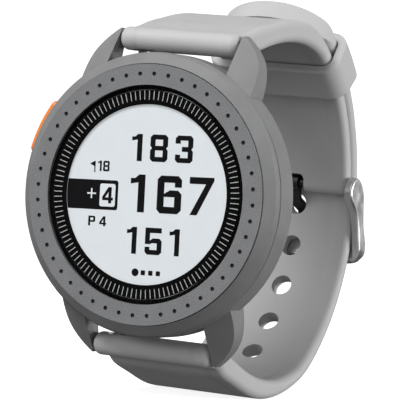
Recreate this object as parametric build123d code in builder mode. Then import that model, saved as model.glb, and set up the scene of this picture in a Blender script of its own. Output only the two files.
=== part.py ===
"""Golf GPS watch with its strap buckled in a loop.  Millimetres.

The dial faces -Y, 12 o'clock is +Z and 3 o'clock is +X.  The origin is the
centre of the cover glass's outer face, so Y is the depth behind the glass.
"""

from build123d import *
from math import cos, radians, sin
import os

os.makedirs("parts", exist_ok=True)

# ---- driving dimensions ----------------------------------------------------
# Case, as radii about the dial's centre and depths behind the glass
bezel_radius = 23.7  # widest radius of the bezel and of the case
bezel_top_radius = 21.65  # where the bezel's slope starts
bezel_depth = 2.6  # back edge of the bezel
seam = 0.12  # gap between bezel and case
insert_inner_radius = 18.15
insert_thickness = 0.9
dimple_circle_radius = 20.0
dimple_count = 48
dimple_radius = 0.36
dimple_depth = 0.35
glass_radius = 18.1
glass_thickness = 0.6
collar_radius = 17.4  # inside of the collar that carries the glass
ring_inner_radius = 14.95  # the display shows inside this radius
cavity_radius = 19.0
cavity_front = 3.4
band_back = 7.5  # the case tapers behind this depth
case_back_depth = 12.0
back_radius = 20.1
back_seat = 10.2  # depth of the ledge under the case back
screw_circle_radius = 17.6

# Strap
strap_width = 22.0
half_strap = strap_width / 2
lug_gap = 22.6  # between the inner faces of each pair of lugs
bar_depth = 8.9  # spring bars' place
bar_height = 25.9
knuckle_radius = 2.0
edge_round = 1.25  # rounding of the strap's long edges

# The back of the loop lies on circles about this point of the (Y, Z) plane
loop_y = 27.3
loop_z = -0.2
layer_split = 33.9  # radius between the two layers of strap
layer_gap = 0.1
inner_layer = 2.9  # thickness of the upper strap there
outer_layer = 2.7  # thickness of the lower strap there
hole_pitch = 13.2  # degrees along the loop
hole_radius = 1.9
pin_angle = 7.0  # buckle pin's place on the loop, in degrees

# Keeper
keeper_angle = 48.0
keeper_half_span = 6.8
keeper_wall = 1.5
keeper_gap = 0.3
keeper_corner = 1.8  # inside corners

# Button
button_angle = 156.5  # from 3 o'clock
button_depth = 5.1
button_face_radius = 25.3
button_width = 2.0
button_length = 9.6
button_gap = 0.15
stem_radius = 0.8


def dial(depth):
    """The plane that faces the wearer at this depth: its x is X and its y is Z."""
    return Plane.XZ.offset(-depth)


def on_loop(radius, angle):
    """A point (Y, Z) of the loop's back, at this radius and angle above +Y."""
    return (loop_y + radius * cos(radians(angle)), loop_z + radius * sin(radians(angle)))


def tangent_at(angle):
    """Direction (Y, Z) along the loop at this angle, towards larger angles."""
    return (-sin(radians(angle)), cos(radians(angle)))


# ---- bezel -----------------------------------------------------------------
with BuildPart() as bezel_ring:
    with BuildSketch(Plane.XY):
        with BuildLine():
            Polyline(
                (insert_inner_radius, insert_thickness + 0.05),
                (bezel_top_radius, insert_thickness + 0.05),
                (bezel_top_radius, 0.15),
                (bezel_radius - 0.35, 1.65),
                (bezel_radius, 2.15),
                (bezel_radius, bezel_depth),
                (insert_inner_radius, bezel_depth),
                close=True,
            )
        make_face()
    revolve(axis=Axis.Y)
    top_edge = bezel_ring.edges().filter_by(GeomType.CIRCLE).sort_by(Axis.Y)[0]
    fillet(top_edge, radius=0.12)
bezel_ring.part.label = "bezel_ring"
export_step(bezel_ring.part, "parts/bezel_ring.step")

with BuildPart() as bezel_insert:
    with BuildSketch(dial(insert_thickness)):
        Circle(bezel_top_radius - 0.05)
        Circle(insert_inner_radius, mode=Mode.SUBTRACT)
    extrude(amount=insert_thickness)
    with BuildSketch(dial(0)):
        with PolarLocations(dimple_circle_radius, dimple_count):
            Circle(dimple_radius)
    extrude(amount=-dimple_depth, mode=Mode.SUBTRACT)
bezel_insert.part.label = "bezel_insert"
export_step(bezel_insert.part, "parts/bezel_insert.step")

# ---- glass and display stack -----------------------------------------------
with BuildPart() as cover_glass:
    with BuildSketch(dial(glass_thickness)):
        Circle(glass_radius)
    extrude(amount=glass_thickness)
    chamfer(cover_glass.edges().sort_by(Axis.Y)[0], length=0.12)
cover_glass.part.label = "cover_glass"
export_step(cover_glass.part, "parts/cover_glass.step")

with BuildPart() as glass_gasket:
    with BuildSketch(dial(glass_thickness + 0.15)):
        Circle(glass_radius)
        Circle(collar_radius, mode=Mode.SUBTRACT)
    extrude(amount=0.15)
glass_gasket.part.label = "glass_gasket"
export_step(glass_gasket.part, "parts/glass_gasket.step")

with BuildPart() as tick_ring:
    with BuildSketch(dial(0.92)):
        Circle(collar_radius - 0.1)
        Circle(ring_inner_radius, mode=Mode.SUBTRACT)
    extrude(amount=0.3)
tick_ring.part.label = "tick_ring"
export_step(tick_ring.part, "parts/tick_ring.step")

with BuildPart() as display_panel:
    with BuildSketch(dial(1.75)):
        Circle(collar_radius - 0.1)
    extrude(amount=0.8)
display_panel.part.label = "display_panel"
export_step(display_panel.part, "parts/display_panel.step")

with BuildPart() as light_guide:
    with BuildSketch(dial(2.35)):
        Circle(collar_radius - 0.3)
        with Locations((0, -collar_radius)):
            Rectangle(8, 3, mode=Mode.SUBTRACT)
    extrude(amount=0.55)
light_guide.part.label = "light_guide"
export_step(light_guide.part, "parts/light_guide.step")

with BuildPart() as display_bracket:
    with BuildSketch(dial(3.3)):
        Circle(collar_radius - 0.1)
        with PolarLocations(11.5, 6):
            Circle(2.5, mode=Mode.SUBTRACT)
        Circle(6, mode=Mode.SUBTRACT)
        with Locations((0, -collar_radius)):
            Rectangle(10, 3, mode=Mode.SUBTRACT)
    extrude(amount=0.9)
display_bracket.part.label = "display_bracket"
export_step(display_bracket.part, "parts/display_bracket.step")

# Ribbon from the panel's lower edge down to the main board
with BuildPart() as display_flex:
    with BuildSketch(Plane.YZ):
        with BuildLine():
            Polyline(
                (1.8, -16.1),
                (1.8, -16.9),
                (5.7, -16.9),
                (5.7, -12.0),
                (5.55, -12.0),
                (5.55, -16.75),
                (1.95, -16.75),
                (1.95, -16.1),
                close=True,
            )
        make_face()
    extrude(amount=3, both=True)
display_flex.part.label = "display_flex"
export_step(display_flex.part, "parts/display_flex.step")

# ---- main housing ----------------------------------------------------------
lug_inner = lug_gap / 2
lug_slope_front = 0.8
lug_slope_back = 0.38
lug_reach = 31.0
bar_hole_radius = 0.5
bar_hole_depth = 1.3
slot_floor = 21.8  # radius of the floor of the button's slot
button_out = (cos(radians(button_angle)), 0, sin(radians(button_angle)))


def toward_button(radius):
    """The plane across the button's axis at this radius, facing outwards: its x is Y."""
    place = (radius * button_out[0], button_depth, radius * button_out[2])
    return Plane(origin=place, x_dir=(0, 1, 0), z_dir=button_out)


with BuildPart() as main_housing:
    # The lugs are a ring with a conical front and back, kept only inside the lugs' outlines
    with BuildSketch(Plane.XY):
        with BuildLine():
            Polyline(
                (21.0, 3.2),
                (bezel_radius - 0.2, 3.64),
                (lug_reach, 3.8 + lug_slope_front * (lug_reach - bezel_radius)),
                (lug_reach, 8.2 + lug_slope_back * (lug_reach - bezel_radius)),
                (21.0, 8.2),
                close=True,
            )
        make_face()
    revolve(axis=Axis.Y)
    with BuildSketch(dial(0)):
        with BuildLine():
            Line((lug_inner, 16.0), (lug_inner, 27.2))
            Spline((lug_inner + 0.35, 27.6), (13.7, 25.7), (15.4, 23.1), (15.95, 20.6), (15.7, 16.0))
            Line((lug_inner, 27.2), (lug_inner + 0.35, 27.6))
            Line((15.7, 16.0), (lug_inner, 16.0))
        make_face()
        mirror(about=Plane.YZ)
        mirror(about=Plane.XZ)
    extrude(amount=-14, mode=Mode.INTERSECT)
    # Barrel with the collar for the glass
    with BuildSketch(Plane.XY):
        with BuildLine():
            Polyline(
                (collar_radius, glass_thickness + 0.15),
                (glass_radius, glass_thickness + 0.15),
                (glass_radius, bezel_depth + seam),
                (bezel_radius - 0.4, bezel_depth + seam),
                (bezel_radius, bezel_depth + seam + 0.25),
                (bezel_radius, band_back),
                (20.8, 11.2),
                (back_radius + 0.1, 11.2),
                (back_radius + 0.1, back_seat),
                (cavity_radius, back_seat),
                (cavity_radius, cavity_front),
                (collar_radius, cavity_front),
                close=True,
            )
        make_face()
    revolve(axis=Axis.Y)
    # Clear the lugs out of the cavity, then add the screw bosses
    with BuildSketch(dial(cavity_front)):
        Circle(cavity_radius)
    extrude(amount=-9, mode=Mode.SUBTRACT)
    with BuildSketch(dial(5.0)):
        with PolarLocations(screw_circle_radius, 4, start_angle=45):
            Circle(1.7)
    extrude(amount=5.0 - back_seat)
    with BuildSketch(dial(back_seat)):
        with PolarLocations(screw_circle_radius, 4, start_angle=45):
            Circle(0.5)
    extrude(amount=3.5, mode=Mode.SUBTRACT)
    # Groove for the case back's seal
    with BuildSketch(dial(back_seat)):
        Circle(19.95)
        Circle(19.35, mode=Mode.SUBTRACT)
    extrude(amount=0.35, mode=Mode.SUBTRACT)
    # Blind holes for the spring bars' tips
    with BuildSketch(Plane.YZ):
        with Locations((bar_depth, bar_height), (bar_depth, -bar_height)):
            Circle(bar_hole_radius)
    extrude(amount=lug_inner + bar_hole_depth, both=True, mode=Mode.SUBTRACT)
    # Slot and stem hole of the button
    with BuildSketch(toward_button(slot_floor)):
        RectangleRounded(button_width + 2 * button_gap, button_length + 2 * button_gap, 1.0)
    extrude(amount=4, mode=Mode.SUBTRACT)
    with BuildSketch(toward_button(18)):
        Circle(stem_radius + 0.06)
    extrude(amount=5, mode=Mode.SUBTRACT)
main_housing.part.label = "main_housing"
export_step(main_housing.part, "parts/main_housing.step")

# ---- case back, its seal, screws and charging contacts ----------------------
contact_radius = 0.75
contact_spots = [(x, -9.0) for x in (-4.5, -1.5, 1.5, 4.5)]

with BuildPart() as case_back:
    with BuildSketch(Plane.XY):
        with BuildLine():
            Polyline(
                (0, back_seat),
                (back_radius, back_seat),
                (back_radius, 11.1),
                (16.6, 11.5),
                (15.8, case_back_depth),
                (0, case_back_depth),
                close=True,
            )
        make_face()
    revolve(axis=Axis.Y)
    with BuildSketch(dial(12.5)):
        with PolarLocations(screw_circle_radius, 4, start_angle=45):
            Circle(0.7)
        with Locations(*contact_spots):
            Circle(contact_radius)
    extrude(amount=2.5, mode=Mode.SUBTRACT)
    with BuildSketch(dial(12.5)):
        with PolarLocations(screw_circle_radius, 4, start_angle=45):
            Circle(1.25)
    extrude(amount=1.6, mode=Mode.SUBTRACT)
case_back.part.label = "case_back"
export_step(case_back.part, "parts/case_back.step")

with BuildPart() as case_back_seal:
    with BuildSketch(dial(back_seat)):
        Circle(19.9)
        Circle(19.4, mode=Mode.SUBTRACT)
    extrude(amount=0.33)
case_back_seal.part.label = "case_back_seal"
export_step(case_back_seal.part, "parts/case_back_seal.step")

with BuildPart() as case_back_screws:
    with BuildSketch(dial(11.25)):
        with PolarLocations(screw_circle_radius, 4, start_angle=45):
            Circle(1.15)
    extrude(amount=0.35)
    with BuildSketch(dial(10.9)):
        with PolarLocations(screw_circle_radius, 4, start_angle=45):
            Circle(0.49)
    extrude(amount=3.9)
    with BuildSketch(dial(11.25)):
        with PolarLocations(screw_circle_radius, 4, start_angle=45):
            Rectangle(1.3, 0.3)
            Rectangle(0.3, 1.3)
    extrude(amount=0.2, mode=Mode.SUBTRACT)
case_back_screws.part.label = "case_back_screws"
export_step(case_back_screws.part, "parts/case_back_screws.step")

with BuildPart() as charging_contacts:
    with BuildSketch(dial(11.95)):
        with Locations(*contact_spots):
            Circle(contact_radius - 0.01)
    extrude(amount=1.9)
charging_contacts.part.label = "charging_contacts"
export_step(charging_contacts.part, "parts/charging_contacts.step")

# ---- electronics -----------------------------------------------------------
board_radius = 15.5
board_front = 5.8
board_back = 6.6

with BuildPart() as main_board:
    with BuildSketch(dial(board_back)):
        Circle(board_radius)
        with Locations((board_radius * cos(radians(button_angle)), board_radius * sin(radians(button_angle)))):
            Circle(2.2, mode=Mode.SUBTRACT)
    extrude(amount=board_back - board_front)
main_board.part.label = "main_board"
export_step(main_board.part, "parts/main_board.step")

with BuildPart() as gps_antenna:
    with BuildSketch(dial(board_front)):
        with Locations((0, 7.5)):
            RectangleRounded(12, 12, 0.6)
    extrude(amount=2.2)
gps_antenna.part.label = "gps_antenna"
export_step(gps_antenna.part, "parts/gps_antenna.step")

with BuildPart() as processor_shield:
    with BuildSketch(dial(board_front)):
        with Locations((-3.5, -5.5)):
            RectangleRounded(10, 8, 0.5)
    extrude(amount=1.4)
    offset(amount=-0.2, openings=processor_shield.faces().sort_by(Axis.Y)[-1])
processor_shield.part.label = "processor_shield"
export_step(processor_shield.part, "parts/processor_shield.step")

with BuildPart() as processor:
    with BuildSketch(dial(board_front)):
        with Locations((-3.5, -5.5)):
            Rectangle(6, 6)
    extrude(amount=0.8)
processor.part.label = "processor"
export_step(processor.part, "parts/processor.step")

with BuildPart() as radio_module:
    with BuildSketch(dial(board_front)):
        with Locations((6.5, -5.5)):
            Rectangle(6, 5)
    extrude(amount=1.2)
radio_module.part.label = "radio_module"
export_step(radio_module.part, "parts/radio_module.step")

with BuildPart() as battery:
    with BuildSketch(dial(9.5)):
        with Locations((0, 2.5)):
            RectangleRounded(21, 17, 1.5)
    extrude(amount=2.8)
battery.part.label = "battery"
export_step(battery.part, "parts/battery.step")

with BuildPart() as battery_pad:
    with BuildSketch(dial(back_seat)):
        with Locations((0, 2.5)):
            RectangleRounded(18, 14, 1.0)
    extrude(amount=back_seat - 9.5)
battery_pad.part.label = "battery_pad"
export_step(battery_pad.part, "parts/battery_pad.step")

# Spring pins that carry the charge from the contacts to the board
with BuildPart() as contact_pins:
    with BuildSketch(dial(10.05)):
        with Locations(*contact_spots):
            Circle(0.4)
    extrude(amount=10.05 - board_back)
    with BuildSketch(dial(8.6)):
        with Locations(*contact_spots):
            Circle(0.6)
    extrude(amount=8.6 - board_back)
contact_pins.part.label = "contact_pins"
export_step(contact_pins.part, "parts/contact_pins.step")

# ---- button ----------------------------------------------------------------
cap_floor = 22.5
cap_bore_depth = 1.0
stem_end = 18.2
clip_place = 18.6  # inner side of the stem's clip groove
clip_thickness = 0.26

with BuildPart() as button_cap:
    with BuildSketch(toward_button(cap_floor)):
        RectangleRounded(button_width, button_length, 0.9)
    extrude(amount=button_face_radius - cap_floor + 0.5)
    with BuildSketch(dial(button_depth + 2)):
        Circle(button_face_radius)
    extrude(amount=4, mode=Mode.INTERSECT)
    face_edges = button_cap.faces().sort_by_distance(toward_button(30).origin)[0].edges()
    fillet(face_edges, radius=0.3)
    with BuildSketch(toward_button(cap_floor)):
        Circle(stem_radius + 0.01)
    extrude(amount=cap_bore_depth, mode=Mode.SUBTRACT)
button_cap.part.label = "button_cap"
export_step(button_cap.part, "parts/button_cap.step")

with BuildPart() as button_stem:
    with BuildSketch(toward_button(stem_end)):
        Circle(stem_radius)
    extrude(amount=cap_floor + cap_bore_depth - stem_end)
    with BuildSketch(toward_button(clip_place)):
        Circle(stem_radius + 0.1)
        Circle(0.6, mode=Mode.SUBTRACT)
    extrude(amount=clip_thickness + 0.04, mode=Mode.SUBTRACT)
button_stem.part.label = "button_stem"
export_step(button_stem.part, "parts/button_stem.step")

with BuildPart() as button_clip:
    with BuildSketch(toward_button(clip_place + 0.02)):
        Circle(1.4)
        Circle(0.61, mode=Mode.SUBTRACT)
        with Locations((1.2, 0)):
            Rectangle(1.6, 0.9, mode=Mode.SUBTRACT)
    extrude(amount=clip_thickness)
button_clip.part.label = "button_clip"
export_step(button_clip.part, "parts/button_clip.step")

with BuildPart() as switch_plunger:
    with BuildSketch(toward_button(16.4)):
        Circle(0.6)
    extrude(amount=stem_end - 16.4)
switch_plunger.part.label = "switch_plunger"
export_step(switch_plunger.part, "parts/switch_plunger.step")

with BuildPart() as side_switch:
    with BuildSketch(toward_button(15.2)):
        Rectangle(2.4, 4.2)
    extrude(amount=2.0)
    with BuildSketch(toward_button(15.7)):
        Circle(0.66)
    extrude(amount=2.0, mode=Mode.SUBTRACT)
side_switch.part.label = "side_switch"
export_step(side_switch.part, "parts/side_switch.step")

# ---- spring bars -----------------------------------------------------------
tube_radius = 0.9
tube_half = 10.4
tip_radius = 0.44
tip_reach = 12.2  # an engaged tip stands this far from the middle
plunger_end = -3.8
lever_x = -7.2
lever_travel = 1.2
lever_reach = 2.6
knob_height = 0.7
pocket_width = 2.6  # room for the lever in the strap, along Y
pocket_shift = 0.35  # the pocket's middle is this far behind the bar


def across(x, side):
    """The plane across a spring bar at this X; side is 1 for the upper bar, -1 for the lower."""
    return Plane(origin=(x, bar_depth, side * bar_height), x_dir=(0, 1, 0), z_dir=(1, 0, 0))


def into_pocket(side):
    """The plane through a bar's axis under its lever, facing the dial's centre: its x is X."""
    return Plane(origin=(lever_x, bar_depth, side * bar_height), x_dir=(1, 0, 0), z_dir=(0, 0, -side))


def spring_bar(name, side, drawn_in):
    """Write one bar's tube, fixed tip, coil spring and quick-release plunger.

    Both tips are drawn in from the lugs by drawn_in.
    """
    reach = tip_reach - drawn_in
    with BuildPart() as tube:
        with BuildSketch(across(-tube_half, side)):
            Circle(tube_radius)
            Circle(0.62, mode=Mode.SUBTRACT)
        extrude(amount=2 * tube_half)
        with BuildSketch(into_pocket(side)):
            with Locations((lever_travel / 2, 0)):
                RectangleRounded(lever_travel + 1.5, 1.1, 0.5)
        extrude(amount=2, mode=Mode.SUBTRACT)
    tube.part.label = f"{name}_bar_tube"
    export_step(tube.part, f"parts/{name}_bar_tube.step")

    with BuildPart() as tip:
        with BuildSketch(across(8.0, side)):
            Circle(0.6)
        extrude(amount=tube_half - 8.0)
        with BuildSketch(across(tube_half, side)):
            Circle(tip_radius)
        extrude(amount=reach - tube_half)
    tip.part.label = f"{name}_bar_tip"
    export_step(tip.part, f"parts/{name}_bar_tip.step")

    with BuildPart() as plunger:
        with BuildSketch(across(plunger_end + drawn_in, side)):
            Circle(0.6)
        extrude(amount=-(tube_half + plunger_end))
        with BuildSketch(across(drawn_in - tube_half, side)):
            Circle(tip_radius)
        extrude(amount=tube_half - tip_reach)
        with BuildSketch(into_pocket(side)):
            with Locations((drawn_in, 0)):
                Circle(0.5)
        extrude(amount=lever_reach)
        with BuildSketch(into_pocket(side).offset(lever_reach - knob_height)):
            with Locations((drawn_in, 0)):
                Circle(0.75)
        extrude(amount=knob_height)
    plunger.part.label = f"{name}_release"
    export_step(plunger.part, f"parts/{name}_release.step")

    coil_start = plunger_end + lever_travel + 0.2
    with BuildPart() as coil:
        with BuildLine() as wire_path:
            start = (coil_start + 0.15, bar_depth, side * bar_height)
            Helix(pitch=1.0, height=9.8, radius=0.42, center=start, direction=(1, 0, 0))
        with BuildSketch(Plane(origin=wire_path.line @ 0, z_dir=wire_path.line % 0)):
            Circle(0.12)
        sweep(path=wire_path.line)
    coil.part.label = f"{name}_bar_spring"
    export_step(coil.part, f"parts/{name}_bar_spring.step")


spring_bar("upper", 1, 0)
spring_bar("lower", -1, lever_travel)

# ---- strap -----------------------------------------------------------------
upper_back = layer_split - layer_gap  # outer face of the upper strap on the loop
upper_inside = upper_back - inner_layer
lower_back = layer_split + outer_layer  # outer face of the lower strap on the loop
join_upper = 57.0  # angle where the upper strap's curve joins the loop
join_lower = -53.0
tail_angle = 49.0  # the tail leaves the loop straight from here
tail_length = 12.5
tail_round = 8.0  # length of the tail's rounded end
tail_swell = 1.2  # the tail's end is this much thicker
pin_radius = 0.75
strap_end_radius = inner_layer / 2
pin_place = on_loop((upper_back + upper_inside) / 2, pin_angle)


def tail_point(radius, along):
    """A point (Y, Z) on the straight tail at this distance past its start."""
    start = on_loop(radius, tail_angle)
    toward = tangent_at(tail_angle)
    return (start[0] + along * toward[0], start[1] + along * toward[1])


def loop_plane(radius, angle):
    """The plane that touches the loop's back at this angle: its x is X, its normal points out."""
    place = on_loop(radius, angle)
    outward = (0, cos(radians(angle)), sin(radians(angle)))
    return Plane(origin=(0, *place), x_dir=(1, 0, 0), z_dir=outward)


upper_outside_points = [(15, 29.2), (20, 30.3), (25, 31.3), (30, 31.9), (35, 32.0), (40.5, 31.0)]
upper_inside_points = [(40, 27.4), (35.5, 28.1), (30, 28.0), (22, 26.7), (15, 24.6)]

with BuildPart() as upper_strap:
    with BuildSketch(Plane.YZ):
        with BuildLine():
            Spline(
                (bar_depth, bar_height + knuckle_radius),
                *upper_outside_points,
                on_loop(upper_back, join_upper),
                tangents=[(1, 0), tuple(-t for t in tangent_at(join_upper))],
            )
            ThreePointArc(
                on_loop(upper_back, join_upper), on_loop(upper_back, 30), on_loop(upper_back, pin_angle)
            )
            ThreePointArc(
                on_loop(upper_back, pin_angle),
                (
                    pin_place[0] - strap_end_radius * tangent_at(pin_angle)[0],
                    pin_place[1] - strap_end_radius * tangent_at(pin_angle)[1],
                ),
                on_loop(upper_inside, pin_angle),
            )
            ThreePointArc(
                on_loop(upper_inside, pin_angle), on_loop(upper_inside, 30), on_loop(upper_inside, join_upper)
            )
            Spline(
                on_loop(upper_inside, join_upper),
                *upper_inside_points,
                (bar_depth, bar_height - knuckle_radius),
                tangents=[tangent_at(join_upper), (-1, 0)],
            )
            ThreePointArc(
                (bar_depth, bar_height - knuckle_radius),
                (bar_depth - knuckle_radius, bar_height),
                (bar_depth, bar_height + knuckle_radius),
            )
        make_face()
    extrude(amount=half_strap, both=True)
    side_edges = upper_strap.faces().filter_by(Axis.X).edges()
    fillet(side_edges, radius=edge_round)
    with BuildSketch(Plane.YZ):
        with Locations((bar_depth, bar_height)):
            Circle(tube_radius + 0.02)
        with Locations(pin_place):
            Circle(pin_radius + 0.02)
    extrude(amount=half_strap, both=True, mode=Mode.SUBTRACT)
    with BuildSketch(into_pocket(1)):
        with Locations((lever_travel / 2, -pocket_shift)):
            RectangleRounded(lever_travel + 3.2, pocket_width, 0.5)
    extrude(amount=3, mode=Mode.SUBTRACT)
    with BuildSketch(loop_plane(upper_inside - 1, pin_angle)):
        with Locations((0, 0.9)):
            RectangleRounded(4.8, 5.4, 1.0)
    extrude(amount=6, mode=Mode.SUBTRACT)
upper_strap.part.label = "upper_strap"
export_step(upper_strap.part, "parts/upper_strap.step")

lower_inside_points = [(14, -24.9), (20, -27.3), (26, -29.4), (32, -30.6), (38, -30.7), (43, -29.7)]
lower_outside_points = [(44.5, -31.9), (38, -33.6), (31, -34.0), (25, -33.0), (19, -31.1), (14, -29.3)]

with BuildPart() as lower_strap:
    with BuildSketch(Plane.YZ):
        with BuildLine():
            Spline(
                (bar_depth, -bar_height + knuckle_radius),
                *lower_inside_points,
                on_loop(layer_split, join_lower),
                tangents=[(1, 0), tangent_at(join_lower)],
            )
            ThreePointArc(
                on_loop(layer_split, join_lower), on_loop(layer_split, 0), on_loop(layer_split, tail_angle)
            )
            Line(on_loop(layer_split, tail_angle), tail_point(layer_split - tail_swell, tail_length))
            Line(tail_point(layer_split - tail_swell, tail_length), tail_point(lower_back, tail_length))
            Line(tail_point(lower_back, tail_length), on_loop(lower_back, tail_angle))
            ThreePointArc(
                on_loop(lower_back, tail_angle), on_loop(lower_back, 0), on_loop(lower_back, join_lower)
            )
            Spline(
                on_loop(lower_back, join_lower),
                *lower_outside_points,
                (bar_depth, -bar_height - knuckle_radius),
                tangents=[tuple(-t for t in tangent_at(join_lower)), (-1, 0)],
            )
            ThreePointArc(
                (bar_depth, -bar_height - knuckle_radius),
                (bar_depth - knuckle_radius, -bar_height),
                (bar_depth, -bar_height + knuckle_radius),
            )
        make_face()
    extrude(amount=half_strap, both=True)
    side_edges = lower_strap.faces().filter_by(Axis.X).edges()
    fillet(side_edges, radius=edge_round)
    # Round the tail's end in plan
    tail_plane = Plane(
        origin=(0, *tail_point(layer_split, 0)), x_dir=(1, 0, 0), z_dir=loop_plane(1, tail_angle).z_dir
    )
    with BuildSketch(tail_plane.offset(-2)):
        with Locations((0, -tail_length)):
            Rectangle(strap_width + 2, 2 * tail_round)
        with Locations((0, tail_round - tail_length)):
            Ellipse(half_strap, tail_round, mode=Mode.SUBTRACT)
    extrude(amount=outer_layer + 4, mode=Mode.SUBTRACT)
    for step in range(-4, 3):
        with BuildSketch(loop_plane(layer_split - 1, step * hole_pitch)):
            Circle(hole_radius)
        extrude(amount=outer_layer + 2, mode=Mode.SUBTRACT)
    with BuildSketch(Plane.YZ):
        with Locations((bar_depth, -bar_height)):
            Circle(tube_radius + 0.02)
    extrude(amount=half_strap, both=True, mode=Mode.SUBTRACT)
    with BuildSketch(into_pocket(-1)):
        with Locations((lever_travel / 2, pocket_shift)):
            RectangleRounded(lever_travel + 3.2, pocket_width, 0.5)
    extrude(amount=3, mode=Mode.SUBTRACT)
lower_strap.part.label = "lower_strap"
export_step(lower_strap.part, "parts/lower_strap.step")

# ---- keeper: a sleeve bent to the loop's curve -------------------------------
keeper_inside = upper_inside - keeper_gap
keeper_outside = lower_back + keeper_gap + 0.1
loop_axis = Axis((0, loop_y, loop_z), (1, 0, 0))


def radial_plane(angle):
    """The plane through the loop's axis at this angle: its x is X and its y is the radius."""
    normal = (0, -sin(radians(angle)), cos(radians(angle)))
    return Plane(origin=(0, loop_y, loop_z), x_dir=(1, 0, 0), z_dir=normal)


with BuildPart() as keeper_loop:
    with BuildSketch(radial_plane(keeper_angle - keeper_half_span)):
        with Locations((0, (keeper_inside + keeper_outside) / 2)):
            RectangleRounded(
                strap_width + 2 * (keeper_gap + keeper_wall),
                keeper_outside - keeper_inside + 2 * keeper_wall,
                keeper_corner + keeper_wall,
            )
            RectangleRounded(
                strap_width + 2 * keeper_gap,
                keeper_outside - keeper_inside,
                keeper_corner,
                mode=Mode.SUBTRACT,
            )
    revolve(axis=loop_axis, revolution_arc=2 * keeper_half_span)
    end_faces = keeper_loop.faces().filter_by(GeomType.PLANE).sort_by(Axis.Z)
    fillet(end_faces[-1].outer_wire().edges() + end_faces[0].outer_wire().edges(), radius=0.5)
keeper_loop.part.label = "keeper_loop"
export_step(keeper_loop.part, "parts/keeper_loop.step")

# ---- buckle ----------------------------------------------------------------
arm_inner = half_strap + 0.35
arm_thickness = 1.4
arm_round = 0.4
frame_corner = 3.0  # rounding of the frame's two outer corners
far_bar_place = (64.3, -9.2)
far_bar_radius = 1.15
plate_gap = 0.35  # between the strap and the curved plate beside the far bar
plate_thickness = 1.0
plate_start = -8.2  # the plate's reach along the loop, in degrees
plate_end = -14.5
tongue_thickness = 1.0
tongue_route = [(59.6, 2.6), (60.3, 0.6), (64.9, -1.2), (65.6, -4.4), (65.6, -10.1)]

with BuildPart() as buckle_frame:
    with BuildSketch(Plane.YZ.offset(arm_inner)):
        with BuildLine():
            Spline(
                (56.8, 3.9),
                (59.2, 5.5),
                (61.9, 3.8),
                (63.1, 0.2),
                (64.1, -4.0),
                (65.4, -8.2),
                (64.2, -10.3),
                (62.6, -8.0),
                (61.4, -4.2),
                (59.1, -0.2),
                periodic=True,
            )
        make_face()
    extrude(amount=arm_thickness)
    arm_edges = buckle_frame.faces().filter_by(Axis.X).sort_by(Axis.X)[-1].edges()
    fillet(arm_edges, radius=arm_round)
    mirror(about=Plane.YZ)
    with BuildSketch(Plane.YZ):
        with Locations(far_bar_place):
            Circle(far_bar_radius)
        with BuildLine():
            plate_inside = lower_back + plate_gap
            plate_outside = plate_inside + plate_thickness
            plate_middle = (plate_start + plate_end) / 2
            ThreePointArc(
                on_loop(plate_inside, plate_start),
                on_loop(plate_inside, plate_middle),
                on_loop(plate_inside, plate_end),
            )
            Line(on_loop(plate_inside, plate_end), on_loop(plate_outside, plate_end))
            ThreePointArc(
                on_loop(plate_outside, plate_end),
                on_loop(plate_outside, plate_middle),
                on_loop(plate_outside, plate_start),
            )
            Line(on_loop(plate_outside, plate_start), on_loop(plate_inside, plate_start))
        make_face()
    extrude(amount=arm_inner + 0.2, both=True)
    # Keep the frame inside a rounded outline, seen from behind
    with BuildSketch(dial(50)):
        with Locations((0, far_bar_place[1] - far_bar_radius + 15)):
            RectangleRounded(2 * (arm_inner + arm_thickness), 30, frame_corner)
    extrude(amount=-20, mode=Mode.INTERSECT)
    with BuildSketch(Plane.YZ):
        with Locations(pin_place):
            Circle(pin_radius - 0.2)
    extrude(amount=arm_inner + arm_thickness - 0.3, both=True, mode=Mode.SUBTRACT)
    # Rest for the tongue
    with BuildSketch(Plane.YZ):
        with Locations((far_bar_place[0] + far_bar_radius, far_bar_place[1])):
            Rectangle(1.2, 4)
    extrude(amount=1.6, both=True, mode=Mode.SUBTRACT)
buckle_frame.part.label = "buckle_frame"
export_step(buckle_frame.part, "parts/buckle_frame.step")

with BuildPart() as buckle_pin:
    with BuildSketch(Plane.YZ):
        with Locations(pin_place):
            Circle(pin_radius - 0.05)
    extrude(amount=half_strap, both=True)
    with BuildSketch(Plane.YZ):
        with Locations(pin_place):
            Circle(pin_radius - 0.26)
    extrude(amount=arm_inner + arm_thickness - 0.35, both=True)
buckle_pin.part.label = "buckle_pin"
export_step(buckle_pin.part, "parts/buckle_pin.step")

with BuildPart() as buckle_tongue:
    with BuildSketch(Plane.YZ):
        with BuildLine():
            FilletPolyline(*tongue_route, radius=0.9)
        trace(line_width=tongue_thickness)
        with Locations(pin_place):
            Circle(1.35)
            Circle(pin_radius + 0.01, mode=Mode.SUBTRACT)
    extrude(amount=1.1, both=True)
buckle_tongue.part.label = "buckle_tongue"
export_step(buckle_tongue.part, "parts/buckle_tongue.step")
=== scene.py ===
"""Looks of the golf GPS watch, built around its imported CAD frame.  Metres.

The dial faces -Y, 12 o'clock is +Z and 3 o'clock is +X, as in the CAD.
"""

import math

import bpy
from mathutils import Matrix, Vector


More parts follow.
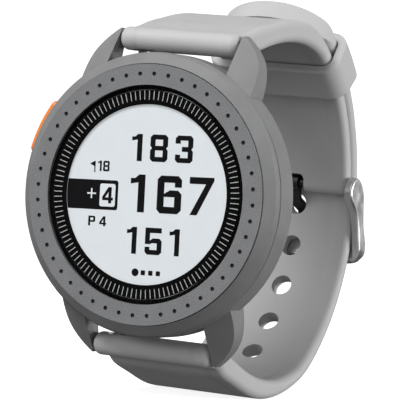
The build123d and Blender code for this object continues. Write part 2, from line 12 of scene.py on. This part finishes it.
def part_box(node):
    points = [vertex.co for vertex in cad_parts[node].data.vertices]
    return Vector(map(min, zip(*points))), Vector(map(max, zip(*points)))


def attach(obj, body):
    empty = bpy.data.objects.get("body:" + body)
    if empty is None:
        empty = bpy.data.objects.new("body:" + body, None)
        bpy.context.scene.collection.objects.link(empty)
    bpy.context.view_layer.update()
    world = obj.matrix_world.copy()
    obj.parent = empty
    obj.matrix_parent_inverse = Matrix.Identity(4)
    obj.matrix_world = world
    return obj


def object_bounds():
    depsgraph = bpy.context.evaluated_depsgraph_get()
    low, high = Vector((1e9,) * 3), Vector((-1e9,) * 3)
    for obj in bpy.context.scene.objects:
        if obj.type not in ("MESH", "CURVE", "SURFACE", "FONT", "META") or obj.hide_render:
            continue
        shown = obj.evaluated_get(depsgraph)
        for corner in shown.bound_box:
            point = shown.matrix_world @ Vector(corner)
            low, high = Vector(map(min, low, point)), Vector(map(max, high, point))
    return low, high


MM = 0.001

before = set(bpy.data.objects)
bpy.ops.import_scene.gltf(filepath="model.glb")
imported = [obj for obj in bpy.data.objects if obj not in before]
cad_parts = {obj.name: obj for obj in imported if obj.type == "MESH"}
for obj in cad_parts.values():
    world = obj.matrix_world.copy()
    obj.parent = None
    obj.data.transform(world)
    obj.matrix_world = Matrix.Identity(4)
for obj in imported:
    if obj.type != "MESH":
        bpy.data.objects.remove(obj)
cad_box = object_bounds()


# ---- materials --------------------------------------------------------------
def principled(name):
    """A new material, with its node tree and its shader."""
    material = bpy.data.materials.new(name)
    material.use_nodes = True
    tree = material.node_tree
    return material, tree, tree.nodes["Principled BSDF"]


def add_noise(tree, size, detail=3.0):
    """Noise in the object's own space, with features about size metres across."""
    where = tree.nodes.new("ShaderNodeTexCoord")
    noise = tree.nodes.new("ShaderNodeTexNoise")
    noise.inputs["Scale"].default_value = 1 / size
    noise.inputs["Detail"].default_value = detail
    tree.links.new(where.outputs["Object"], noise.inputs["Vector"])
    return noise.outputs["Fac"]


def add_range(tree, value, low, high, from_low=0.3, from_high=0.7):
    """The noise value, spread over low to high."""
    spread = tree.nodes.new("ShaderNodeMapRange")
    spread.inputs["From Min"].default_value = from_low
    spread.inputs["From Max"].default_value = from_high
    spread.inputs["To Min"].default_value = low
    spread.inputs["To Max"].default_value = high
    tree.links.new(value, spread.inputs["Value"])
    return spread.outputs["Result"]


def surface(
    name,
    colour,
    roughness,
    grain=0.3 * MM,
    grain_depth=0.01 * MM,
    mottle=0.06,
    mottle_size=4 * MM,
    rough_spread=0.08,
    metallic=0.0,
    speckle=0.0,
    specular=0.5,
):
    """A moulded, painted or blasted surface: mottled colour, uneven gloss and fine grain."""
    material, tree, shader = principled(name)
    shader.inputs["Metallic"].default_value = metallic
    shader.inputs["Specular IOR Level"].default_value = specular
    mix = tree.nodes.new("ShaderNodeMix")
    mix.data_type = "RGBA"
    mix.inputs["A"].default_value = (*[c * (1 - mottle) for c in colour], 1)
    mix.inputs["B"].default_value = (*[min(1, c * (1 + mottle)) for c in colour], 1)
    tree.links.new(add_range(tree, add_noise(tree, mottle_size), 0, 1), mix.inputs["Factor"])
    result = mix.outputs["Result"]
    if speckle:
        dots = tree.nodes.new("ShaderNodeMix")
        dots.data_type = "RGBA"
        dots.blend_type = "MULTIPLY"
        dots.inputs["Factor"].default_value = 1
        tree.links.new(result, dots.inputs["A"])
        shade = add_range(tree, add_noise(tree, grain, 2.0), 1 - speckle, 1 + speckle, 0.35, 0.65)
        grey = tree.nodes.new("ShaderNodeCombineColor")
        for channel in ("Red", "Green", "Blue"):
            tree.links.new(shade, grey.inputs[channel])
        tree.links.new(grey.outputs["Color"], dots.inputs["B"])
        result = dots.outputs["Result"]
    tree.links.new(result, shader.inputs["Base Color"])
    tree.links.new(
        add_range(tree, add_noise(tree, mottle_size / 2), roughness - rough_spread, roughness + rough_spread),
        shader.inputs["Roughness"],
    )
    bump = tree.nodes.new("ShaderNodeBump")
    bump.inputs["Strength"].default_value = 1
    bump.inputs["Distance"].default_value = grain_depth
    tree.links.new(add_noise(tree, grain), bump.inputs["Height"])
    tree.links.new(bump.outputs["Normal"], shader.inputs["Normal"])
    return material


case_grey = surface("case_grey", (0.2, 0.201, 0.204), 0.5, grain=0.25 * MM, grain_depth=0.012 * MM)
insert_grey = surface(
    "insert_grey", (0.175, 0.177, 0.182), 0.6, grain=0.22 * MM, grain_depth=0.03 * MM, speckle=0.16
)
ring_black = surface(
    "ring_black", (0.005, 0.005, 0.005), 0.6, grain=0.2 * MM, grain_depth=0.003 * MM, specular=0.0
)
# Painted shade: the dark grey of the cups that darken the insert's dimples
dimple_shade_grey = surface("dimple_shade_grey", (0.03, 0.03, 0.032), 0.7, grain_depth=0.01 * MM, specular=0.2)
rubber_black = surface("rubber_black", (0.01, 0.01, 0.011), 0.7)
tick_grey = surface("tick_grey", (0.55, 0.57, 0.57), 0.5, grain_depth=0.002 * MM)
digit_black = surface("digit_black", (0.007, 0.007, 0.008), 0.55, grain_depth=0.001 * MM, specular=0.05)
digit_white = surface("digit_white", (0.6, 0.63, 0.65), 0.5, grain_depth=0.001 * MM)
display_white = surface(
    "display_white", (0.55, 0.585, 0.61), 0.4, grain=0.2 * MM, grain_depth=0.001 * MM, mottle=0.02
)
button_orange = surface("button_orange", (0.9, 0.24, 0.035), 0.5)
strap_silicone = surface(
    "strap_silicone", (0.46, 0.46, 0.463), 0.62, grain=0.35 * MM, grain_depth=0.01 * MM, mottle=0.02,
    mottle_size=8 * MM,
)
keeper_silicone = surface(
    "keeper_silicone", (0.46, 0.46, 0.463), 0.62, grain=0.35 * MM, grain_depth=0.01 * MM, mottle=0.02,
    mottle_size=8 * MM,
)
buckle_metal = surface(
    "buckle_metal", (0.66, 0.66, 0.66), 0.42, grain=0.2 * MM, grain_depth=0.004 * MM, metallic=1.0
)
steel = surface("steel", (0.55, 0.55, 0.56), 0.35, metallic=1.0)
# Dark metal; on the buckle tongue its darkness is painted shade, as the tongue lies in shadow under the strap
dark_steel_and_tongue_shade = surface("dark_steel_and_tongue_shade", (0.06, 0.06, 0.062), 0.45, metallic=1.0)
gold = surface("gold", (0.83, 0.62, 0.27), 0.3, metallic=1.0)
board_green = surface("board_green", (0.02, 0.12, 0.05), 0.5, mottle=0.3, mottle_size=1 * MM)
chip_black = surface("chip_black", (0.02, 0.02, 0.022), 0.6)
ceramic = surface("ceramic", (0.55, 0.5, 0.4), 0.6)
amber_film = surface("amber_film", (0.35, 0.14, 0.02), 0.4)
cell_silver = surface("cell_silver", (0.45, 0.46, 0.48), 0.4)
foam_grey = surface("foam_grey", (0.1, 0.1, 0.11), 0.9, grain=0.4 * MM, grain_depth=0.1 * MM)
clear_plastic = surface("clear_plastic", (0.7, 0.72, 0.74), 0.3)

glass, glass_tree, glass_shader = principled("clear_glass")
glass_shader.inputs["Base Color"].default_value = (0.01, 0.01, 0.01, 1)
glass_shader.inputs["Alpha"].default_value = 0.05
glass_shader.inputs["Specular IOR Level"].default_value = 0.1
glass_smudge = add_range(glass_tree, add_noise(glass_tree, 3 * MM), 0.03, 0.09)
glass_tree.links.new(glass_smudge, glass_shader.inputs["Roughness"])

# The panel is lit from behind
for lit, strength in ((display_white, 0.3), (digit_white, 0.27)):
    lit_shader = lit.node_tree.nodes["Principled BSDF"]
    lit_shader.inputs["Emission Color"].default_value = (0.93, 0.97, 1, 1)
    lit_shader.inputs["Emission Strength"].default_value = strength

MATERIALS = {
    case_grey: ["main_housing", "bezel_ring", "case_back"],
    insert_grey: ["bezel_insert"],
    glass: ["cover_glass"],
    ring_black: ["tick_ring", "glass_gasket"],
    rubber_black: ["case_back_seal"],
    display_white: ["display_panel"],
    clear_plastic: ["light_guide"],
    cell_silver: ["display_bracket", "battery"],
    amber_film: ["display_flex"],
    steel: [
        "case_back_screws", "processor_shield", "button_stem", "button_clip", "upper_bar_spring",
        "lower_bar_spring", "upper_bar_tip", "lower_bar_tip",
    ],
    # On buckle_tongue this dark metal is painted shade, as the tongue lies in shadow under the strap
    dark_steel_and_tongue_shade: [
        "buckle_pin", "buckle_tongue", "upper_bar_tube", "lower_bar_tube", "upper_release",
        "lower_release",
    ],
    gold: ["charging_contacts", "contact_pins"],
    board_green: ["main_board"],
    ceramic: ["gps_antenna"],
    chip_black: ["processor", "radio_module", "side_switch", "switch_plunger"],
    foam_grey: ["battery_pad"],
    button_orange: ["button_cap"],
    strap_silicone: ["upper_strap", "lower_strap"],
    keeper_silicone: ["keeper_loop"],
    buckle_metal: ["buckle_frame"],
}
for material, names in MATERIALS.items():
    for name in names:
        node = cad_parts[name]
        for slot in node.material_slots:
            slot.material = material


def add_crease(material, start, end, depth):
    """A soft step that runs along both edges of the strap, start to end metres from its middle."""
    tree = material.node_tree
    where = tree.nodes.new("ShaderNodeTexCoord")
    split = tree.nodes.new("ShaderNodeSeparateXYZ")
    side = tree.nodes.new("ShaderNodeMath")
    side.operation = "ABSOLUTE"
    step = tree.nodes.new("ShaderNodeMapRange")
    step.interpolation_type = "SMOOTHERSTEP"
    step.inputs["From Min"].default_value = start
    step.inputs["From Max"].default_value = end
    bump = tree.nodes.new("ShaderNodeBump")
    bump.inputs["Distance"].default_value = depth
    tree.links.new(where.outputs["Object"], split.inputs["Vector"])
    tree.links.new(split.outputs["X"], side.inputs[0])
    tree.links.new(side.outputs["Value"], step.inputs["Value"])
    tree.links.new(step.outputs["Result"], bump.inputs["Height"])
    shader = tree.nodes["Principled BSDF"]
    tree.links.new(shader.inputs["Normal"].links[0].from_socket, bump.inputs["Normal"])
    tree.links.new(bump.outputs["Normal"], shader.inputs["Normal"])


CREASE_START = 7.2 * MM  # from the strap's middle
CREASE_END = 9.0 * MM
CREASE_DEPTH = 0.2 * MM
add_crease(strap_silicone, CREASE_START, CREASE_END, CREASE_DEPTH)


# ---- display ----------------------------------------------------------------
DISPLAY_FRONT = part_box("display_panel")[0].y
DISPLAY_TURN = math.radians(2.5)  # the picture's turn on the panel
DISPLAY_RADIUS = 14.9 * MM
INK = 0.02 * MM  # thickness of the ink on the panel
LAYER_STEP = 1.2 * INK  # from one layer of ink to the next
FIRST_LAYER = 0.55  # the first layer's middle, in steps from the panel
CELL_WIDTH = 7
CELL_HEIGHT = 10

# Outlines on a cell 7 wide and 10 high; the first loop is the outside, the others are holes
GLYPHS = {
    "1": [[(2.2, 0), (4.2, 0), (4.2, 10), (2.4, 10), (1.2, 9), (0, 9), (0, 7.5), (2.2, 7.9)]],
    "3": [
        [
            (1, 0), (6, 0), (7, 1), (7, 4.2), (6.3, 5), (7, 5.8), (7, 9), (6, 10), (1, 10), (0, 9), (0, 7),
            (2, 7), (2, 8.2), (5, 8.2), (5, 5.9), (2.6, 5.9), (2.6, 4.1), (5, 4.1), (5, 1.8), (2, 1.8),
            (2, 3), (0, 3), (0, 1),
        ]
    ],
    "4": [
        [
            (4, 0), (6, 0), (6, 1.8), (7, 1.8), (7, 3.6), (6, 3.6), (6, 10), (3.8, 10), (0, 3.9), (0, 1.8),
            (4, 1.8),
        ],
        [(4, 3.6), (4, 7), (1.9, 3.6)],
    ],
    "5": [
        [
            (0, 10), (6.8, 10), (6.8, 8.1), (2, 8.1), (2, 5.2), (3.2, 6.1), (6, 6.1), (7, 5.1), (7, 1),
            (6, 0), (1, 0), (0, 1), (0, 2.9), (2, 2.9), (2, 1.8), (5, 1.8), (5, 4.3), (2.8, 4.3),
            (2.2, 3.9), (0, 3.9),
        ]
    ],
    "6": [
        [
            (1, 0), (6, 0), (7, 1), (7, 5.2), (6, 6.2), (3.6, 6.2), (2, 5.2), (2, 8.2), (5, 8.2), (5, 7),
            (7, 7), (7, 9), (6, 10), (1, 10), (0, 9), (0, 1),
        ],
        [(2, 1.8), (5, 1.8), (5, 4.4), (2, 4.4)],
    ],
    "7": [[(0, 8.2), (0, 10), (7, 10), (7, 9.2), (2.4, 0), (0.4, 0), (4.7, 8.2)]],
    "8": [
        [
            (1, 0), (6, 0), (7, 1), (7, 4.2), (6.3, 5), (7, 5.8), (7, 9), (6, 10), (1, 10), (0, 9),
            (0, 5.8), (0.7, 5), (0, 4.2), (0, 1),
        ],
        [(2, 1.8), (5, 1.8), (5, 4.2), (2, 4.2)],
        [(2, 5.9), (5, 5.9), (5, 8.2), (2, 8.2)],
    ],
    "P": [
        [(0, 0), (2, 0), (2, 3.8), (6, 3.8), (7, 4.8), (7, 9), (6, 10), (0, 10)],
        [(2, 5.6), (5, 5.6), (5, 8.2), (2, 8.2)],
    ],
}


def rounded_box(left, bottom, right, top, corner, steps=4):
    """Outline of a box with rounded corners."""
    points = []
    for turn, (x, y) in enumerate(
        ((right - corner, top - corner), (left + corner, top - corner),
         (left + corner, bottom + corner), (right - corner, bottom + corner))
    ):
        for step in range(steps + 1):
            angle = math.radians(90 * (turn + step / steps))
            points.append((x + corner * math.cos(angle), y + corner * math.sin(angle)))
    return points


def ink(name, loops, material, layer=1):
    """Flat ink on the display, from outlines in millimetres about its centre."""
    curve = bpy.data.curves.new(name, "CURVE")
    curve.dimensions = "2D"
    curve.fill_mode = "BOTH"
    curve.extrude = INK / 2
    for loop in loops:
        spline = curve.splines.new("POLY")
        spline.points.add(len(loop) - 1)
        for point, (x, y) in zip(spline.points, loop):
            point.co = (x * MM, y * MM, 0, 1)
        spline.use_cyclic_u = True
    shape = bpy.data.objects.new(name, curve)
    bpy.context.collection.objects.link(shape)
    place = Matrix.Translation((0, DISPLAY_FRONT - (layer - 1 + FIRST_LAYER) * LAYER_STEP, 0))
    upright = Matrix.Rotation(math.pi / 2, 4, "X")
    turned = Matrix.Rotation(-DISPLAY_TURN, 4, "Y")
    bpy.context.view_layer.update()
    mesh = bpy.data.meshes.new_from_object(shape.evaluated_get(bpy.context.evaluated_depsgraph_get()))
    bpy.data.objects.remove(shape)
    mesh.transform(place @ turned @ upright)
    mesh.materials.clear()
    mesh.materials.append(material)
    solid = bpy.data.objects.new(name, mesh)
    bpy.context.collection.objects.link(solid)
    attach(solid, "case")
    return solid


def glyph(character, left, bottom, height, width):
    """A character's outlines, fitted in a cell whose lower left corner is given."""
    return [
        [(left + x / CELL_WIDTH * width, bottom + y / CELL_HEIGHT * height) for x, y in loop]
        for loop in GLYPHS[character]
    ]


def number(name, text, lefts, bottom, height, width, material=digit_black, layer=1):
    """A row of characters, with each one's left edge given.  Millimetres."""
    loops = []
    for character, left in zip(text, lefts):
        loops += glyph(character, left, bottom, height, width)
    return ink(name, loops, material, layer)


number("distance_back", "183", (-3.1, 0.35, 5.0), 5.5, 4.5, 3.25)
number("distance_centre", "167", (-2.95, 2.05, 7.95), -2.95, 6.25, 4.5)
number("distance_front", "151", (-3.2, 0.25, 4.75), -9.85, 4.45, 3.1)
number("hole_number", "18", (-9.3, -8.3), 3.55, 1.75, 1.2)
number("par_label", "P4", (-10.6, -8.5), -5.6, 1.65, 1.3)
ink(
    "hole_flag",
    [[(-9.95, 3.3), (-9.75, 3.3), (-9.75, 5.2), (-9.95, 5.2), (-10.75, 4.75), (-9.95, 4.3)]],
    digit_black,
)

BAR_TOP, BAR_BOTTOM, BAR_RIGHT = 2.1, -2.85, -5.25
BAR_CORNER = 0.4
BAR_STEPS = 6  # along the bar's round left end
bar_outline = rounded_box(BAR_RIGHT - 5, BAR_BOTTOM, BAR_RIGHT, BAR_TOP, BAR_CORNER)
bar_right = [point for point in bar_outline if point[0] > BAR_RIGHT - 1]
upper_end = math.asin(BAR_TOP * MM / DISPLAY_RADIUS)
lower_end = math.asin(BAR_BOTTOM * MM / DISPLAY_RADIUS)
bar_left = []
for step in range(BAR_STEPS + 1):
    angle = math.pi - (upper_end + (lower_end - upper_end) * step / BAR_STEPS)
    bar_left.append((DISPLAY_RADIUS / MM * math.cos(angle), DISPLAY_RADIUS / MM * math.sin(angle)))
half = len(bar_right) // 2
ink("score_bar", [bar_right[:half] + bar_left + bar_right[half:]], digit_black)
ink("score_box", [rounded_box(-8.65, -2.3, -5.75, 1.5, 0.35)], digit_white, layer=2)
number("score_digit", "4", (-8.15,), -1.75, 2.7, 2.0, layer=3)
ink(
    "score_plus",
    [[
        (-11.05, -0.32), (-10.35, -0.32), (-10.35, -1.02), (-10.1, -1.02), (-10.1, -0.32), (-9.4, -0.32),
        (-9.4, -0.07), (-10.1, -0.07), (-10.1, 0.63), (-10.35, 0.63), (-10.35, -0.07), (-11.05, -0.07),
    ]],
    digit_white,
    layer=2,
)
page_dots = [rounded_box(-1.95, -13.55, -0.65, -12.25, 0.64)]
for centre in (0.15, 1.55, 2.95):
    page_dots.append(rounded_box(centre - 0.4, -13.3, centre + 0.4, -12.5, 0.1, 1))
ink("page_dots", page_dots, digit_black)


# ---- tick marks on the black ring --------------------------------------------
def tick_marks(count=120, inner=15.7, outer=17.2, width=0.12, height=0.015):
    """Raised printed marks round the ring, as one piece."""
    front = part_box("tick_ring")[0].y
    verts, faces = [], []
    for index in range(count):
        turn = Matrix.Rotation(2 * math.pi * index / count, 4, "Y")
        first = len(verts)
        for y in (front, front - height * MM):
            for x, z in ((-width, inner), (width, inner), (width, outer), (-width, outer)):
                verts.append(turn @ Vector((x / 2 * MM, y, z * MM)))
        a, b, c, d, e, f, g, h = range(first, first + 8)
        faces += [(e, f, g, h), (d, c, b, a), (a, b, f, e), (b, c, g, f), (c, d, h, g), (d, a, e, h)]
    mesh = bpy.data.meshes.new("tick_marks")
    mesh.from_pydata(verts, [], faces)
    mesh.materials.append(tick_grey)
    marks = bpy.data.objects.new("tick_marks", mesh)
    bpy.context.collection.objects.link(marks)
    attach(marks, "case")


tick_marks()


# ---- dark cups in the insert's dimples, painted shade in the recesses ---------
def dimple_shade_cups(count=48, circle=20.0, radius=0.35, rim=0.06, depth=0.32, bevel=0.1, sides=16):
    """A shallow dark cup in each dimple, as one piece: painted shade that darkens each recess."""
    profile = ((radius, rim), (radius, depth - bevel), (radius - bevel, depth))
    verts, faces = [], []
    for index in range(count):
        turn = Matrix.Rotation(2 * math.pi * index / count, 4, "Y")
        first = len(verts)
        for ring_radius, y in profile:
            for side in range(sides):
                angle = 2 * math.pi * side / sides
                x = ring_radius * math.cos(angle)
                z = circle + ring_radius * math.sin(angle)
                verts.append(turn @ Vector((x * MM, y * MM, z * MM)))
        verts.append(turn @ Vector((0, depth * MM, circle * MM)))
        for ring in range(len(profile) - 1):
            for side in range(sides):
                a = first + ring * sides + side
                b = first + ring * sides + (side + 1) % sides
                faces.append((a, b, b + sides, a + sides))
        last_ring = first + (len(profile) - 1) * sides
        for side in range(sides):
            faces.append((last_ring + side, last_ring + (side + 1) % sides, len(verts) - 1))
    mesh = bpy.data.meshes.new("dimple_shade_cups")
    mesh.from_pydata(verts, [], faces)
    mesh.materials.append(dimple_shade_grey)
    shade_pieces = bpy.data.objects.new("dimple_shade_cups", mesh)
    bpy.context.collection.objects.link(shade_pieces)
    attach(shade_pieces, "case")


dimple_shade_cups()


# ---- floor and light ---------------------------------------------------------
floor_white = surface(
    "floor_white", (0.6, 0.6, 0.6), 0.8, grain=2 * MM, grain_depth=0.02 * MM, mottle=0.01,
    mottle_size=60 * MM,
)


def sweep_floor(flat=1.0, wall=1.8, rings=14, sides=96):
    """A round pale floor that curves up into a wall all round."""
    low = cad_box[0].z
    profile = [(radius, low) for radius in (0.02, 0.1, flat / 2)]
    rise = wall - flat
    for step in range(rings + 1):
        angle = math.radians(90 * step / rings)
        profile.append((flat + rise * math.sin(angle), low + rise * (1 - math.cos(angle))))
    verts = [(0, 0, low)]
    faces = []
    for radius, height in profile:
        for side in range(sides):
            turn = 2 * math.pi * side / sides
            verts.append((radius * math.cos(turn), radius * math.sin(turn), height))
    for side in range(sides):
        faces.append((0, 1 + side, 1 + (side + 1) % sides))
    for ring in range(len(profile) - 1):
        for side in range(sides):
            a = 1 + ring * sides + side
            b = 1 + ring * sides + (side + 1) % sides
            faces.append((a, a + sides, b + sides, b))
    mesh = bpy.data.meshes.new("studio_floor")
    mesh.from_pydata(verts, [], faces)
    mesh.polygons.foreach_set("use_smooth", [True] * len(mesh.polygons))
    mesh.materials.append(floor_white)
    floor = bpy.data.objects.new("studio_floor", mesh)
    bpy.context.collection.objects.link(floor)
    # Its white shows to the camera, and doesn't fill in the shadows under the watch
    floor.visible_diffuse = False
    floor.visible_glossy = False


sweep_floor()
FLOOR_GLOW = 0.85
floor_shader = floor_white.node_tree.nodes["Principled BSDF"]
floor_shader.inputs["Emission Color"].default_value = (1, 1, 1, 1)
floor_shader.inputs["Emission Strength"].default_value = FLOOR_GLOW


def area_light(name, place, target, size, power):
    """A square soft box that shines from place to target."""
    light = bpy.data.lights.new(name, "AREA")
    light.shape = "SQUARE"
    light.size = size
    light.energy = power
    lamp = bpy.data.objects.new(name, light)
    bpy.context.collection.objects.link(lamp)
    lamp.location = place
    lamp.rotation_mode = "QUATERNION"
    lamp.rotation_quaternion = (Vector(target) - Vector(place)).to_track_quat("-Z", "Y")


WATCH_MIDDLE = (0, 0.025, 0)
area_light("key_light", (-0.2, -0.6, 0.75), WATCH_MIDDLE, 0.5, 9)
area_light("side_light", (0.85, 0.35, 0.05), WATCH_MIDDLE, 0.4, 9)
area_light("front_light", (-0.75, -0.5, 0.25), WATCH_MIDDLE, 0.3, 1.5)

# The studio is bright overhead and dark underfoot, with a soft glow in front of the dial
SKY = ((0.0, 0.02), (0.46, 0.06), (0.58, 0.3), (1.0, 0.3))  # height from bottom to top, and brightness
GLOW_TOWARD = Vector((0.3, -0.8, -0.25)).normalized()
GLOW_START = 0.3  # cosine of the angle where the glow begins
GLOW = 0.5
world = bpy.data.worlds.new("studio")
bpy.context.scene.world = world
world.use_nodes = True
sky = world.node_tree
sky_place = sky.nodes.new("ShaderNodeTexCoord")
sky_split = sky.nodes.new("ShaderNodeSeparateXYZ")
sky_ramp = sky.nodes.new("ShaderNodeValToRGB")
sky.links.new(sky_place.outputs["Generated"], sky_split.inputs["Vector"])
sky_height = sky.nodes.new("ShaderNodeMapRange")
sky_height.inputs["From Min"].default_value = -1
sky.links.new(sky_split.outputs["Z"], sky_height.inputs["Value"])
sky.links.new(sky_height.outputs["Result"], sky_ramp.inputs["Fac"])
sky_side = sky.nodes.new("ShaderNodeVectorMath")
sky_side.operation = "DOT_PRODUCT"
sky_side.inputs[1].default_value = GLOW_TOWARD
sky.links.new(sky_place.outputs["Generated"], sky_side.inputs[0])
sky_glow = sky.nodes.new("ShaderNodeMapRange")
sky_glow.interpolation_type = "SMOOTHSTEP"
sky_glow.inputs["From Min"].default_value = GLOW_START
sky_glow.inputs["To Max"].default_value = GLOW
sky.links.new(sky_side.outputs["Value"], sky_glow.inputs["Value"])
sky_sum = sky.nodes.new("ShaderNodeMix")
sky_sum.data_type = "RGBA"
sky_sum.blend_type = "ADD"
sky_sum.inputs["Factor"].default_value = 1
sky.links.new(sky_ramp.outputs["Color"], sky_sum.inputs["A"])
sky.links.new(sky_glow.outputs["Result"], sky_sum.inputs["B"])
sky.links.new(sky_sum.outputs["Result"], sky.nodes["Background"].inputs["Color"])
stops = sky_ramp.color_ramp.elements
while len(stops) < len(SKY):
    stops.new(0.5)
for stop, (place, level) in zip(stops, SKY):
    stop.position = place
    stop.color = (level, level, level, 1)
bpy.context.scene.view_settings.view_transform = "Standard"


# ---- camera ------------------------------------------------------------------
SENSOR_WIDTH = 36
FOCAL_LENGTH = 250.65
camera_data = bpy.data.cameras.new("camera")
camera_data.sensor_width = SENSOR_WIDTH
camera_data.lens = FOCAL_LENGTH
camera = bpy.data.objects.new("camera", camera_data)
bpy.context.collection.objects.link(camera)
camera_place = Vector((0.21269, -0.40688, 0.00944))
camera_right = Vector((0.891, 0.44491, 0.09041))
camera_down = Vector((0.09014, 0.02182, -0.99569))
camera_back = Vector((0.44496, -0.89531, 0.02066))
axes = Matrix((camera_right, -camera_down, camera_back)).transposed()
camera.matrix_world = Matrix.Translation(camera_place) @ axes.to_4x4()
bpy.context.scene.camera = camera
